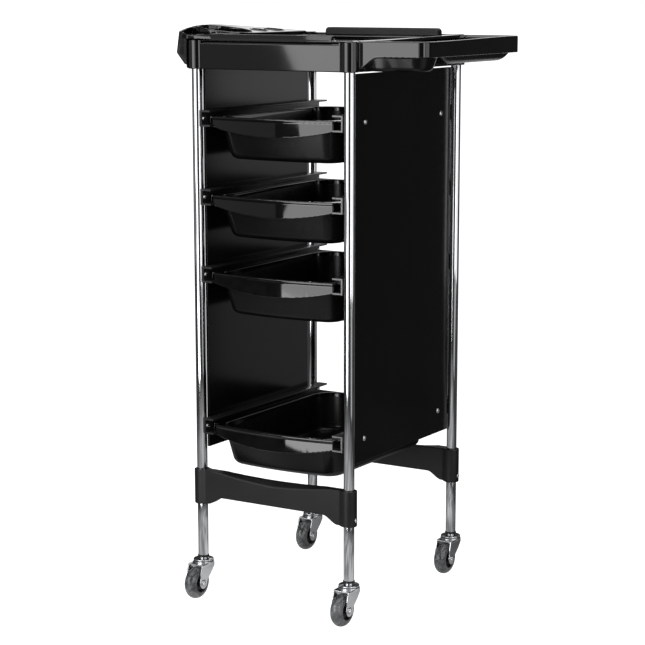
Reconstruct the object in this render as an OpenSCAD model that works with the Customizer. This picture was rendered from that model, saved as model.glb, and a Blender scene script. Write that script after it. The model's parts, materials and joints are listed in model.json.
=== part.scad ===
// Salon and spa trolley cart: four chromed posts on swivel casters, two side
// panels, four slide-out trays in channel rails and a moulded top deck with
// a dryer ring on the left and a shelf wing with a double cup on the right.
// X runs across the cart (wing side positive), trays pull out towards -Y,
// Z is up, the floor is z = 0 and the origin is the middle of the footprint.

/* [Frame] */
// Distance between post centres across the cart
post_dx = 262; // [240:2:300]
// Distance between post centres front to back
post_dy = 316; // [300:2:340]
// Outer diameter of the posts and legs
tube_d = 16; // [16:0.5:16]
// Wall of the posts and legs
tube_wall = 1.2; // [0.8:0.1:2]
// Height of the underside of the top deck
deck_bottom = 806; // [780:2:860]
// Height of the flat top of the deck
deck_rise = 43; // [40:1:48]

/* [Brackets] */
// Underside of the bracket columns
bracket_bottom = 148; // [130:1:160]
// Height of the bracket columns
bracket_h = 54; // [50:1:70]
// Radius of the bracket columns
column_r = 12; // [11:0.5:12]

/* [Trays] */
// Height of the lowest rail centre
rail_low = 270; // [262:1:290]
// Vertical pitch of the rail slots
rail_pitch = 116; // [100:1:120]
// Depth of a tray basin below its rim
tray_depth = 60; // [40:1:60]
// Half width of a tray basin at the rim
basin_top = 102; // [92:1:102]
// Half width of a tray basin at the bottom
basin_low = 97; // [86:1:97]
// Wall of the mouldings
wall = 2.5; // [2:0.1:3]

/* [Top unit] */
// Inner radius of the dryer ring
ring_r = 41; // [36:0.5:41]
// Outer radius of the ear around the ring
ear_r = 68; // [66:1:72]
// Centre radius of the two cup lobes
cup_r = 26; // [24:0.5:26]

/* [Casters] */
// Wheel diameter
wheel_d = 50; // [50:1:50]
// Horizontal offset of the axle behind the swivel axis
trail = 19; // [17:0.5:21]

/* [Hidden] */

$fn = 64;
px = post_dx / 2;
py = post_dy / 2;
tr = tube_d / 2;
bore_r = tr + 0.05;
deck_top = deck_bottom + deck_rise;
recess_z = deck_top - 11;
bracket_top = bracket_bottom + bracket_h;
joint_z = bracket_bottom + bracket_h / 2 + 1;
leg_z = 65.5;
panel_z0 = rail_low - 35;
panel_z1 = deck_bottom - 3;
rail_x0 = px - 25.5;
rail_x1 = px - tr;
rail_h = 24;
rail_t = 2.8;
flange_x = rail_x1 - 6.3;
ear_x = -px - 52;
ear_y = -10;
tool_1 = [-px - 32, 56];
tool_2 = [-px - 31, 97];
// Rim planes of the tool holder, as heights at y = 0
rim_z = deck_top + 15.1;
back_z = deck_top + 20.4;
wing_x = px + 110;
cup_x1 = px + 36;
cup_x2 = px + 83;
cup_y = -108;
wr = wheel_d / 2;
// Offset that centres the footprint on the origin
x_min = ear_x - ear_r;
x_max = wing_x;
y_min = -py - trail - wr;
y_max = py + 16;
off = [-(x_min + x_max) / 2, -(y_min + y_max) / 2, 0];
slot_z = [rail_low + 4 * rail_pitch, rail_low + 3 * rail_pitch,
          rail_low + 2 * rail_pitch, rail_low];

// Rounded rectangle from two corners, made of squares and circles
module rrect(x0, y0, x1, y1, r) {
  translate([x0 + r, y0]) square([x1 - x0 - 2 * r, y1 - y0]);
  translate([x0, y0 + r]) square([x1 - x0, y1 - y0 - 2 * r]);
  for (x = [x0 + r, x1 - r], y = [y0 + r, y1 - r])
    translate([x, y]) circle(r = r);
}

module slab(z0, z1) { translate([0, 0, z0]) linear_extrude(height = z1 - z0) children(); }

module at_posts() { for (x = [-px, px], y = [-py, py]) translate([x, y]) children(); }

// Plan of the tool holder: a disc around the ring, joined by straight flanks
// to the front left column (radius c) and to the back left corner (radius e)
function tangent(x, y, r, c, side) =
  let (d = sqrt((x - ear_x) ^ 2 + (y - ear_y) ^ 2), a = atan2(y - ear_y, x - ear_x),
       b = a + side * acos((r - c) / d))
  [[ear_x + r * cos(b), ear_y + r * sin(b)], [x + c * cos(b), y + c * sin(b)]];
module ear_plan(r, c, e) {
  translate([ear_x, ear_y]) circle(r = r, $fn = 96);
  f = tangent(-px, -py, r, c, -1);
  polygon([f[0], f[1], [-px, -py], [-px - 10, ear_y], [ear_x, ear_y]]);
  g = tangent(-px - 8, py - 12, r, e, 1);
  polygon([g[0], g[1], [-px - 8, py - 12], [-px - 10, ear_y], [ear_x, ear_y]]);
  translate([-px - 8, py - 12]) circle(r = e);
}
// Half space left of the deck, with room for the corner columns
module left_of_deck(x) difference() {
  translate([x - 300, -300]) square([300, 600]);
  for (y = [-py, py]) translate([-px, y]) circle(r = column_r + 1.05);
}

// ---- top unit -------------------------------------------------------------
module deck_outline() {
  rrect(-px - 10, -py - 9, px + 10, py + 9, 8);
  at_posts() circle(r = column_r + 1);
}

module top_deck() color("#101012") translate(off) difference() {
  union() {
    // body of the deck
    slab(deck_bottom, deck_top) deck_outline();
    // raised front lip
    translate([0, 0, 0]) rotate([90, 0, 90])
      translate([0, 0, -px + 16]) linear_extrude(height = 2 * px - 40)
        polygon([[-py - 9, deck_top - 3], [-py + 2, deck_top + 6],
                 [-py + 5, deck_top + 6], [-py + 5, deck_top - 3]]);
    // wing rim band
    slab(deck_top - 22, deck_top) rrect(px - 4, -135, wing_x, 150, 14);
    // double cup below the front of the wing
    slab(deck_bottom + 1, deck_top - 5) {
      translate([cup_x1, cup_y]) circle(r = cup_r);
      translate([cup_x2, cup_y]) circle(r = cup_r);
      translate([cup_x1, cup_y - cup_r + 6]) square([cup_x2 - cup_x1, 2 * cup_r - 12]);
      translate([px + 9, cup_y - 14]) square([20, 28]);
    }
    // basin below the rear of the wing
    slab(deck_bottom + 6, deck_top - 20) rrect(px + 9, -60, wing_x - 16, 138, 18);
  }
  // underside of the deck between the sockets
  slab(deck_bottom - 1, recess_z - 3) difference() {
    rrect(-px - 7, -py - 6, px + 7, py + 6, 5);
    at_posts() circle(r = column_r + 1);
  }
  // work recess in the top
  slab(recess_z, deck_top + 30) rrect(-px + 8, -py + 12, px - 8, py - 12, 12);
  // cup inside
  slab(deck_bottom + 3.5, deck_top + 1) {
    translate([cup_x1, cup_y]) circle(r = cup_r - 2.5);
    translate([cup_x2, cup_y]) circle(r = cup_r - 2.5);
    translate([cup_x1, cup_y - cup_r + 8.5]) square([cup_x2 - cup_x1, 2 * cup_r - 17]);
  }
  // wing basin inside
  slab(deck_bottom + 8.5, deck_top + 1) rrect(px + 13, -56, wing_x - 19, 135, 15);
  // underside of the wing between rim, cup and basin
  slab(deck_top - 23, deck_top - 3) difference() {
    rrect(px + 10, -132, wing_x - 3, 147, 11);
    translate([cup_x1, cup_y]) circle(r = cup_r);
    translate([cup_x2, cup_y]) circle(r = cup_r);
    translate([cup_x1, cup_y - cup_r + 6]) square([cup_x2 - cup_x1, 2 * cup_r - 12]);
    translate([px + 9, cup_y - 14]) square([20, 28]);
    rrect(px + 9, -60, wing_x - 16, 138, 18);
  }
  // sockets for the four posts
  at_posts() translate([0, 0, deck_bottom - 1]) cylinder(r = bore_r, h = 37);
}

// Slab between two parallel planes that slope along Y; z is at y = 0
module sloped(z, t, deg) translate([-300, 0, z]) rotate([deg, 0, 0])
  translate([0, -250, -t]) cube([400, 500, t]);

module tool_holder() color("#101012") translate(off) difference() {
  union() {
    // skirt with the humped rim
    intersection() {
      slab(deck_bottom + 14, deck_top + 25) intersection() {
        difference() {
          ear_plan(ear_r, column_r + 4, 9);
          ear_plan(ear_r - 3, column_r + 1, 6);
        }
        left_of_deck(-px - 10);
      }
      sloped(rim_z, 90, 3.13);
      sloped(back_z, 90, -6.2);
    }
    // wall against the deck
    slab(deck_bottom + 14, deck_top) intersection() {
      ear_plan(ear_r, column_r + 4, 9);
      difference() { left_of_deck(-px - 10); translate([-px - 313, -300]) square([300, 600]); }
    }
    // lower wall drawn in under the skirt
    slab(deck_bottom + 5, deck_bottom + 17) intersection() {
      difference() {
        ear_plan(ear_r - 9, column_r - 2, 3);
        ear_plan(ear_r - 12, column_r - 5, 1);
        translate(tool_2) circle(r = 17);
      }
      left_of_deck(-px - 10);
    }
    slab(deck_bottom + 14, deck_bottom + 17) intersection() {
      difference() {
        ear_plan(ear_r, column_r + 4, 9);
        ear_plan(ear_r - 12, column_r - 5, 1);
        translate(tool_2) circle(r = 17);
      }
      left_of_deck(-px - 10);
    }
    // floor
    slab(recess_z - 1, recess_z + 2) intersection() {
      ear_plan(ear_r - 1, column_r + 2, 7);
      left_of_deck(-px - 10);
    }
    // raised plate around the two tool holes
    intersection() {
      slab(recess_z, deck_top + 25) intersection() {
        ear_plan(ear_r - 1, column_r + 2, 7);
        left_of_deck(-px - 10);
        translate([-400, 38]) square([400, 200]);
      }
      difference() {
        sloped(back_z - 1.2, 90, -6.2);
        translate([-400, 41, 700]) cube([400 - px - 13, 300, 200]);
      }
    }
    intersection() {
      slab(recess_z, deck_top + 25) intersection() {
        ear_plan(ear_r - 1, column_r + 2, 7);
        left_of_deck(-px - 10);
        translate([-400, 38]) square([400, 200]);
      }
      sloped(back_z - 1.2, 3, -6.2);
    }
    // collars of the tool holes
    intersection() {
      slab(recess_z - 1, deck_top + 25) {
        translate(tool_1) circle(r = 14.5);
        translate(tool_2) circle(r = 16.5);
      }
      sloped(back_z - 1.2, 90, -6.2);
    }
    // dryer ring
    intersection() {
      slab(deck_bottom + 14, deck_top + 40) intersection() {
        translate([ear_x, ear_y]) circle(r = ring_r + 3.5, $fn = 96);
        left_of_deck(-px - 10);
      }
      sloped(deck_top + 13, 90, 7.5);
    }
  }
  translate([ear_x, ear_y, deck_bottom]) cylinder(r = ring_r, h = 100, $fn = 96);
  translate([tool_1[0], tool_1[1], deck_bottom]) cylinder(r = 12, h = 100);
  translate([tool_2[0], tool_2[1], deck_bottom]) cylinder(r = 14, h = 100);
}

module rear_rail_bar() color("#0c0c0d") translate(off) difference() {
  translate([-102, 152, 0]) rotate([90, 0, 0]) mirror([0, 0, 1])
    linear_extrude(height = 14) {
      translate([0, deck_top]) square([204, 7]);
      translate([5, deck_top]) square([194, 12]);
      for (x = [5, 199]) translate([x, deck_top + 7]) circle(r = 5);
    }
}

// ---- posts and legs ---------------------------------------------------------
module post(sx, sy) color("#d5d8dc") translate(off) translate([sx * px, sy * py, 0]) difference() {
  translate([0, 0, joint_z]) cylinder(r = tr, h = deck_bottom + 35 - joint_z);
  translate([0, 0, joint_z - 1]) cylinder(r = tr - tube_wall, h = deck_bottom + 40 - joint_z);
  for (z = slot_z) translate([0, 0, z]) rotate([0, -90 * sx, 0]) cylinder(r = 2, h = tr + 1, $fn = 24);
}
module post_front_left() post(-1, -1);
module post_front_right() post(1, -1);
module post_back_left() post(-1, 1);
module post_back_right() post(1, 1);

module leg(sx, sy) color("#d5d8dc") translate(off) translate([sx * px, sy * py, 0]) difference() {
  translate([0, 0, leg_z]) cylinder(r = tr, h = joint_z - 2 - leg_z);
  translate([0, 0, leg_z - 1]) cylinder(r = tr - tube_wall, h = joint_z - leg_z + 1);
  translate([0, 0, bracket_bottom + 10]) rotate([0, 90 * sx, 0]) cylinder(r = 2, h = tr + 1, $fn = 24);
}
module leg_front_left() leg(-1, -1);
module leg_front_right() leg(1, -1);
module leg_back_left() leg(-1, 1);
module leg_back_right() leg(1, 1);

// ---- base brackets ----------------------------------------------------------
// Half of the lower edge: a straight run that eases down into the column
function ease(t) = t * t * (3 - 2 * t);
function low_edge(n) = [for (i = [0 : n]) let (t = i / n)
  [px - 42 + 32 * t, bracket_bottom + 12 - 11 * ease(t)]];

module bracket_bar() translate([0, -py + 7, 0]) rotate([90, 0, 0]) linear_extrude(height = 16)
  polygon(concat([for (p = low_edge(8)) p],
    [[px - 5, bracket_bottom + 1], [px - 5, bracket_top - 1],
     [-px + 5, bracket_top - 1], [-px + 5, bracket_bottom + 1]],
    [for (i = [8 : -1 : 0]) [-low_edge(8)[i][0], low_edge(8)[i][1]]]));

module bracket() difference() {
  union() {
    slab(bracket_bottom, bracket_top) for (x = [-px, px]) translate([x, -py]) circle(r = column_r);
    bracket_bar();
  }
  // sloping scoop along the front of the top
  rotate([90, 0, 90]) translate([0, 0, -px + 16]) linear_extrude(height = 2 * px - 32)
    polygon([[-py - 12, bracket_top - 10], [-py - 9, bracket_top - 9],
             [-py + 1, bracket_top - 0.9], [-py + 1, bracket_top + 3], [-py - 12, bracket_top + 3]]);
  for (sx = [-1, 1]) translate([sx * px, -py, 0]) {
    translate([0, 0, bracket_bottom - 1]) cylinder(r = bore_r, h = bracket_h + 2);
    translate([0, 0, bracket_bottom + 10]) rotate([0, 90 * sx, 0]) cylinder(r = 2, h = 20, $fn = 24);
  }
}
module bracket_front() color("#18181a") translate(off) bracket();
module bracket_back() color("#18181a") translate(off) mirror([0, 1, 0]) bracket();

// ---- side panels --------------------------------------------------------------
module side_panel(sx) color("#141416") translate(off) difference() {
  translate([sx > 0 ? rail_x1 : -rail_x1 - 4, -py + 8.5, panel_z0])
    cube([4, 2 * py - (sx > 0 ? 17 : 35.5), panel_z1 - panel_z0]);
  for (y = [-108, 118], z = [slot_z[0], slot_z[3]])
    translate([sx * (rail_x1 - 1), y, z]) rotate([0, 90 * sx, 0]) cylinder(r = 2.2, h = 10, $fn = 24);
}
module side_panel_left() side_panel(-1);
module side_panel_right() side_panel(1);

// ---- rails ----------------------------------------------------------------------
module rail(sx, i) color("#2a2b2d") translate(off) translate([0, 0, slot_z[i]]) mirror([sx < 0 ? 1 : 0, 0, 0])
  difference() {
    translate([rail_x0, -py - 6, -rail_h / 2]) cube([rail_x1 - rail_x0, 2 * py + 12, rail_h]);
    translate([rail_x0 - 1, -py - 7, -rail_h / 2 + rail_t])
      cube([rail_x1 - rail_x0 + 1 - rail_t, 2 * py + 14, rail_h - 2 * rail_t]);
    for (y = [-py, py]) translate([rail_x1 - 4, y, 0]) rotate([0, 90, 0]) cylinder(r = 2, h = 6, $fn = 24);
    for (y = [-108, 118]) translate([rail_x1 - 4, y, 0]) rotate([0, 90, 0]) cylinder(r = 2.2, h = 6, $fn = 24);
  }
module rail_left_1() rail(-1, 0);
module rail_left_2() rail(-1, 1);
module rail_left_3() rail(-1, 2);
module rail_left_4() rail(-1, 3);
module rail_right_1() rail(1, 0);
module rail_right_2() rail(1, 1);
module rail_right_3() rail(1, 2);
module rail_right_4() rail(1, 3);

// ---- trays ------------------------------------------------------------------------
lip_x = 104.8;
lip_bulge = 11;
lip_R = (lip_x * lip_x + lip_bulge * lip_bulge) / (2 * lip_bulge);
drop_R = (lip_x * lip_x + 12 * 12) / 24;

module lip_disc(r) translate([0, -py - 1 - lip_bulge + lip_R]) circle(r = r, $fn = 360);

// Slice of the basin, a rounded rectangle
module basin_slice(z, hx, y0, y1, rf, rr) translate([0, 0, z]) linear_extrude(height = 0.6) {
  translate([-hx + rf, y0]) square([2 * (hx - rf), 60]);
  translate([-hx, y0 + rf]) square([2 * hx, y1 - rr - y0 - rf]);
  translate([-hx + rr, y1 - 60]) square([2 * (hx - rr), 60]);
  for (sx = [-1, 1]) {
    translate([sx * (hx - rf), y0 + rf]) circle(r = rf, $fn = 32);
    translate([sx * (hx - rr), y1 - rr]) circle(r = rr, $fn = 32);
  }
}
module basin(g, d, zt) hull() {
  basin_slice(zt, basin_top - g, -160 + g, 147 - g, 26 - g, 38 - g);
  basin_slice(-d + 9, basin_low - g, -147 + g, 141 - g, 24 - g, 36 - g);
  basin_slice(-d, basin_low - 9 - g, -138 + g, 132 - g, 18 - g, 30 - g);
}

module tray(i) color("#0b0b0c") translate(off) translate([0, 0, slot_z[i]]) {
  difference() {
    union() {
      // rim plate with its bowed front
      slab(0.5, 3) {
        translate([-flange_x, -py + 10]) square([2 * flange_x, 2 * py - 18]);
        intersection() {
          lip_disc(lip_R);
          translate([-lip_x, -200]) square([2 * lip_x, 60]);
        }
      }
      basin(0, tray_depth, 0.8);
    }
    basin(wall, tray_depth - wall, 3.3);
  }
  // down-turned runners in the channels
  for (sx = [-1, 1]) translate([sx > 0 ? flange_x - wall : -flange_x, -py + 10, -rail_h / 2 + rail_t + 0.4])
    cube([wall, 2 * py - 18, rail_h / 2 - rail_t - 0.4 + 0.6]);
  // crescent pull lip
  intersection() {
    slab(-24, 0.6) difference() {
      lip_disc(lip_R);
      lip_disc(lip_R - 2.5);
      translate([-300, -py + 9]) square([600, 1000]);
    }
    translate([-lip_x, -300, -30]) cube([2 * lip_x, 300, 40]);
    translate([0, 0, -24 + drop_R]) rotate([90, 0, 0]) cylinder(r = drop_R, h = 400, $fn = 360);
  }
}
module tray_1() tray(0);
module tray_2() tray(1);
module tray_3() tray(2);
module tray_4() tray(3);

// ---- fasteners -----------------------------------------------------------------------
// Pan head screw along +X with its head face at x = 0 and the shank behind it
module pan_screw(r, h, sr, l) {
  rotate([0, -90, 0]) cylinder(r = r, h = h, $fn = 32);
  rotate([0, 90, 0]) cylinder(r = sr, h = l, $fn = 24);
}
module rail_screws() color("#e3e5e8") translate(off)
  for (sx = [-1, 1], y = [-py, py], z = slot_z) translate([sx * (rail_x1 - rail_t), y, z])
    mirror([sx < 0 ? 1 : 0, 0, 0]) pan_screw(3.4, 2, 1.9, 5);
module panel_screws() color("#c9ccd0") translate(off)
  for (sx = [-1, 1], y = [-108, 118], z = [slot_z[0], slot_z[3]]) translate([sx * (rail_x1 + 4), y, z])
    mirror([sx > 0 ? 1 : 0, 0, 0]) pan_screw(4, 2, 2, 6.2);
module bracket_screws() color("#dfe1e4") translate(off)
  for (sx = [-1, 1], sy = [-1, 1]) translate([sx * (px + column_r), sy * py, bracket_bottom + 10])
    mirror([sx > 0 ? 1 : 0, 0, 0]) pan_screw(3.2, 1.6, 1.9, 8);

// ---- casters ----------------------------------------------------------------------------
module at_caster(sx, sy) translate(off) translate([sx * px, sy * py, 0]) children();

module caster_bush() color("#0e0e10") difference() {
  union() {
    translate([0, 0, leg_z - 3.5]) cylinder(r = tr + 0.7, h = 3.5);
    translate([0, 0, leg_z]) cylinder(r = tr - tube_wall - 0.05, h = 26);
  }
  translate([0, 0, leg_z - 4]) cylinder(r = 4.05, h = 27);
}
module caster_stem() color("#c8ccd1") {
  translate([0, 0, leg_z - 3.5]) cylinder(r = 4, h = 24);
  translate([0, 0, 59.5]) cylinder(r1 = 5.5, r2 = 8, h = leg_z - 3.5 - 59.5);
  translate([0, 0, 56.8]) cylinder(r = 15.5, h = 2.7);
  translate([0, 0, 53.5]) cylinder(r = 3, h = 4);
  translate([0, 0, 50.2]) cylinder(r = 5, h = 1.4);
  translate([0, 0, 51.5]) cylinder(r = 3, h = 3);
}
module caster_fork() color("#cfd3d8") difference() {
  union() {
    slab(52, 54) {
      circle(r = 16);
      translate([-13.5, -22]) square([27, 28]);
    }
    slab(53.9, 56.4) circle(r = 16);
    for (sx = [-1, 1]) translate([sx > 0 ? 11.5 : -13.5, 0, 0])
      rotate([90, 0, 90]) linear_extrude(height = 2) {
        polygon([[10, 54], [10, 46], [-trail + 8.4, wr + 2], [-trail, wr], [-trail - 8.4, wr + 1],
                 [-trail - 7, 44], [-23, 52], [-22, 54]]);
        translate([-trail, wr]) circle(r = 8.5);
      }
  }
  translate([0, 0, 40]) cylinder(r = 3.08, h = 30);
  translate([-20, -trail, wr]) rotate([0, 90, 0]) cylinder(r = 3.05, h = 40);
}
module axle_bolt() color("#dadde1") translate([0, -trail, wr]) rotate([0, 90, 0]) difference() {
  union() {
    translate([0, 0, -16.5]) cylinder(r = 3, h = 33);
    translate([0, 0, 13.5]) cylinder(r = 4.6, h = 2.6);
    translate([0, 0, -16.3]) cylinder(r = 4.6, h = 2.8, $fn = 6);
  }
  translate([-10, -0.6, 15.2]) cube([20, 1.2, 5]);
}
module wheel_hub() color("#121214") translate([0, -trail, wr]) rotate([0, 90, 0]) difference() {
  union() {
    translate([0, 0, -8]) cylinder(r = 14.5, h = 16);
    translate([0, 0, -11]) cylinder(r = 5.5, h = 22);
  }
  for (s = [-1, 1]) translate([0, 0, s > 0 ? 5 : -9]) difference() {
    cylinder(r = 12.5, h = 4);
    translate([0, 0, -1]) cylinder(r = 5.5, h = 6);
  }
  translate([0, 0, -20]) cylinder(r = 3.08, h = 40);
}
module tyre() color("#8d9196") translate([0, -trail, wr]) rotate([0, 90, 0])
  rotate_extrude($fn = 96) difference() {
    translate([wr - 10, 0]) circle(r = 10, $fn = 48);
    translate([0, -12]) square([14.55, 24]);
  }

module caster_bush_fl() at_caster(-1, -1) caster_bush();
module caster_bush_fr() at_caster(1, -1) caster_bush();
module caster_bush_bl() at_caster(-1, 1) caster_bush();
module caster_bush_br() at_caster(1, 1) caster_bush();
module caster_stem_fl() at_caster(-1, -1) caster_stem();
module caster_stem_fr() at_caster(1, -1) caster_stem();
module caster_stem_bl() at_caster(-1, 1) caster_stem();
module caster_stem_br() at_caster(1, 1) caster_stem();
module caster_fork_fl() at_caster(-1, -1) caster_fork();
module caster_fork_fr() at_caster(1, -1) caster_fork();
module caster_fork_bl() at_caster(-1, 1) caster_fork();
module caster_fork_br() at_caster(1, 1) caster_fork();
module axle_bolt_fl() at_caster(-1, -1) axle_bolt();
module axle_bolt_fr() at_caster(1, -1) axle_bolt();
module axle_bolt_bl() at_caster(-1, 1) axle_bolt();
module axle_bolt_br() at_caster(1, 1) axle_bolt();
module wheel_hub_fl() at_caster(-1, -1) wheel_hub();
module wheel_hub_fr() at_caster(1, -1) wheel_hub();
module wheel_hub_bl() at_caster(-1, 1) wheel_hub();
module wheel_hub_br() at_caster(1, 1) wheel_hub();
module tyre_fl() at_caster(-1, -1) tyre();
module tyre_fr() at_caster(1, -1) tyre();
module tyre_bl() at_caster(-1, 1) tyre();
module tyre_br() at_caster(1, 1) tyre();

top_deck();
tool_holder();
rear_rail_bar();
post_front_left();
post_front_right();
post_back_left();
post_back_right();
leg_front_left();
leg_front_right();
leg_back_left();
leg_back_right();
bracket_front();
bracket_back();
side_panel_left();
side_panel_right();
rail_left_1();
rail_left_2();
rail_left_3();
rail_left_4();
rail_right_1();
rail_right_2();
rail_right_3();
rail_right_4();
tray_1();
tray_2();
tray_3();
tray_4();
rail_screws();
panel_screws();
bracket_screws();
caster_bush_fl();
caster_bush_fr();
caster_bush_bl();
caster_bush_br();
caster_stem_fl();
caster_stem_fr();
caster_stem_bl();
caster_stem_br();
caster_fork_fl();
caster_fork_fr();
caster_fork_bl();
caster_fork_br();
axle_bolt_fl();
axle_bolt_fr();
axle_bolt_bl();
axle_bolt_br();
wheel_hub_fl();
wheel_hub_fr();
wheel_hub_bl();
wheel_hub_br();
tyre_fl();
tyre_fr();
tyre_bl();
tyre_br();
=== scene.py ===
"""Looks of the salon and spa trolley cart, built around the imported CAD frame."""
import json
import math

import bmesh
import bpy
import numpy as np
from mathutils import Matrix, Vector

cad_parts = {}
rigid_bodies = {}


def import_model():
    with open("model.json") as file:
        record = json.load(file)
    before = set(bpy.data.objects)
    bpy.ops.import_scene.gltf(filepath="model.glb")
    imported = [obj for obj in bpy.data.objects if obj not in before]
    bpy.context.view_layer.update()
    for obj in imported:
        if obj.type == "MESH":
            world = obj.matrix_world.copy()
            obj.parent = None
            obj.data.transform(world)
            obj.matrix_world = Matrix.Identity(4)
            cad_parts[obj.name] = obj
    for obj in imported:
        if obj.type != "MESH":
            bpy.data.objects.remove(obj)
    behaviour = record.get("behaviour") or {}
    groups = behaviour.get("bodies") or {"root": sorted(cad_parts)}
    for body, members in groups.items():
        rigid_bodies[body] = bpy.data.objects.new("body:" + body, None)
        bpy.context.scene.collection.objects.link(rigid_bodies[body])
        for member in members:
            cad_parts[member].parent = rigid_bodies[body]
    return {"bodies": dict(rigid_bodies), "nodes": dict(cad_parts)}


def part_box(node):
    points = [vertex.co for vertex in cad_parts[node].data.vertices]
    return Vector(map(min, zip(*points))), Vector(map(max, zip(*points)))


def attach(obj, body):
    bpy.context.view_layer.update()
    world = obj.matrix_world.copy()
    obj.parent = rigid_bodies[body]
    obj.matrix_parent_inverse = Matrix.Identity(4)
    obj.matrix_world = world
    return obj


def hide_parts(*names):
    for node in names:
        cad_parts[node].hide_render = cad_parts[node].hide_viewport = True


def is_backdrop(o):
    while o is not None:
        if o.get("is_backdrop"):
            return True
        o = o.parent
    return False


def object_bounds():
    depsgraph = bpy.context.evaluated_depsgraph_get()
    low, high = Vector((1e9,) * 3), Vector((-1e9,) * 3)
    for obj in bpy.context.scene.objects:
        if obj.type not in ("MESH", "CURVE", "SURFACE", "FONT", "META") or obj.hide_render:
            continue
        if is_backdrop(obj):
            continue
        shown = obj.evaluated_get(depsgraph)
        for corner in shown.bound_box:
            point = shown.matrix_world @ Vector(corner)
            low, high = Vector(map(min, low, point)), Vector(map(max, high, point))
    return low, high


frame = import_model()
CAD_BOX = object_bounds()
NODES = frame["nodes"]
BODIES = frame["bodies"]

# ------------------------------------------------------------------ frame data
lo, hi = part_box("post_front_right")
lo2, hi2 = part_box("post_front_left")
lo3, hi3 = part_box("post_back_right")
PCX = (lo.x + hi.x) / 2 * 1000
PCY = (lo.y + hi.y) / 2 * 1000
PX = (PCX - (lo2.x + hi2.x) / 2 * 1000) / 2      # half spacing of the posts
PY = ((lo3.y + hi3.y) / 2 * 1000 - PCY) / 2
OX, OY = PCX - PX, PCY + PY                       # cart centre in the row frame, mm
dlo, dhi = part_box("top_deck")
DECK_B = round(dlo.z * 1000)                      # underside of the deck
DT = DECK_B + 43                                  # flat top of the deck
RAILZ = {}
for i in (1, 2, 3, 4):
    a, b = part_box("rail_left_%d" % i)
    RAILZ[i] = (a.z + b.z) / 2 * 1000
blo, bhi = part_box("bracket_front")
BB, BT = blo.z * 1000, bhi.z * 1000
CORNER = {"fl": (-1, -1), "fr": (1, -1), "bl": (-1, 1), "br": (1, 1)}
LONG = {"fl": "front_left", "fr": "front_right", "bl": "back_left", "br": "back_right"}
flo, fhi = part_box("wheel_hub_fr")
AXZ = (flo.z + fhi.z) / 2 * 1000
TRAIL = PCY - (flo.y + fhi.y) / 2 * 1000


# ------------------------------------------------------------------ materials
def mat(name):
    m = bpy.data.materials.new(name)
    m.use_nodes = True
    nt = m.node_tree
    for n in list(nt.nodes):
        nt.nodes.remove(n)
    out = nt.nodes.new("ShaderNodeOutputMaterial")
    b = nt.nodes.new("ShaderNodeBsdfPrincipled")
    nt.links.new(b.outputs[0], out.inputs[0])
    return m, nt, b


def noise(nt, scale, detail=4.0, rough=0.55, stretch=None, dist=0.0):
    tc = nt.nodes.new("ShaderNodeTexCoord")
    n = nt.nodes.new("ShaderNodeTexNoise")
    n.inputs["Scale"].default_value = scale
    n.inputs["Detail"].default_value = detail
    n.inputs["Roughness"].default_value = rough
    n.inputs["Distortion"].default_value = dist
    if stretch:
        mp = nt.nodes.new("ShaderNodeMapping")
        mp.inputs["Scale"].default_value = stretch
        nt.links.new(tc.outputs["Object"], mp.inputs[0])
        nt.links.new(mp.outputs[0], n.inputs["Vector"])
    else:
        nt.links.new(tc.outputs["Object"], n.inputs["Vector"])
    return n.outputs[0]


def ramp(nt, src, stops):
    r = nt.nodes.new("ShaderNodeValToRGB")
    el = r.color_ramp.elements
    while len(el) > 1:
        el.remove(el[0])
    el[0].position, el[0].color = stops[0][0], stops[0][1]
    for p, c in stops[1:]:
        e = el.new(p)
        e.color = c
    nt.links.new(src, r.inputs[0])
    return r.outputs[0]


def span(nt, src, a, b, lo_=0.0, hi_=1.0):
    r = nt.nodes.new("ShaderNodeMapRange")
    r.inputs[1].default_value, r.inputs[2].default_value = lo_, hi_
    r.inputs[3].default_value, r.inputs[4].default_value = a, b
    nt.links.new(src, r.inputs[0])
    return r.outputs[0]


def math2(nt, op, a, b):
    m = nt.nodes.new("ShaderNodeMath")
    m.operation = op
    for i, v in enumerate((a, b)):
        if isinstance(v, (int, float)):
            m.inputs[i].default_value = v
        else:
            nt.links.new(v, m.inputs[i])
    return m.outputs[0]


def bump(nt, b, height, strength, distance):
    n = nt.nodes.new("ShaderNodeBump")
    n.inputs["Strength"].default_value = strength
    n.inputs["Distance"].default_value = distance
    nt.links.new(height, n.inputs["Height"])
    nt.links.new(n.outputs[0], b.inputs["Normal"])


def g(v, a=1.0):
    return (v, v, v, a)


def edge_wear(nt):
    """Convexity of the surface from pointiness: lighter on rubbed edges."""
    geo = nt.nodes.new("ShaderNodeNewGeometry")
    return span(nt, geo.outputs["Pointiness"], 0.0, 1.0, 0.52, 0.60)


def gloss_black():
    m, nt, b = mat("gloss_black_abs")
    fine = noise(nt, 900.0, 3.0, 0.6)
    wide = noise(nt, 14.0, 5.0, 0.55)
    dust = noise(nt, 130.0, 8.0, 0.7)
    col = ramp(nt, wide, [(0.3, (0.0045, 0.0045, 0.0052, 1)), (0.7, (0.0070, 0.0070, 0.0078, 1))])
    nt.links.new(col, b.inputs["Base Color"])
    r1 = span(nt, wide, 0.035, 0.060, 0.3, 0.7)
    r2 = span(nt, dust, 0.0, 0.05, 0.58, 0.8)
    nt.links.new(math2(nt, "ADD", r1, r2), b.inputs["Roughness"])
    b.inputs["IOR"].default_value = 1.53
    b.inputs["Coat Weight"].default_value = 0.6
    b.inputs["Coat Roughness"].default_value = 0.03
    bump(nt, b, math2(nt, "ADD", math2(nt, "MULTIPLY", fine, 0.04), wide), 0.04, 0.0006)
    return m


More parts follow.
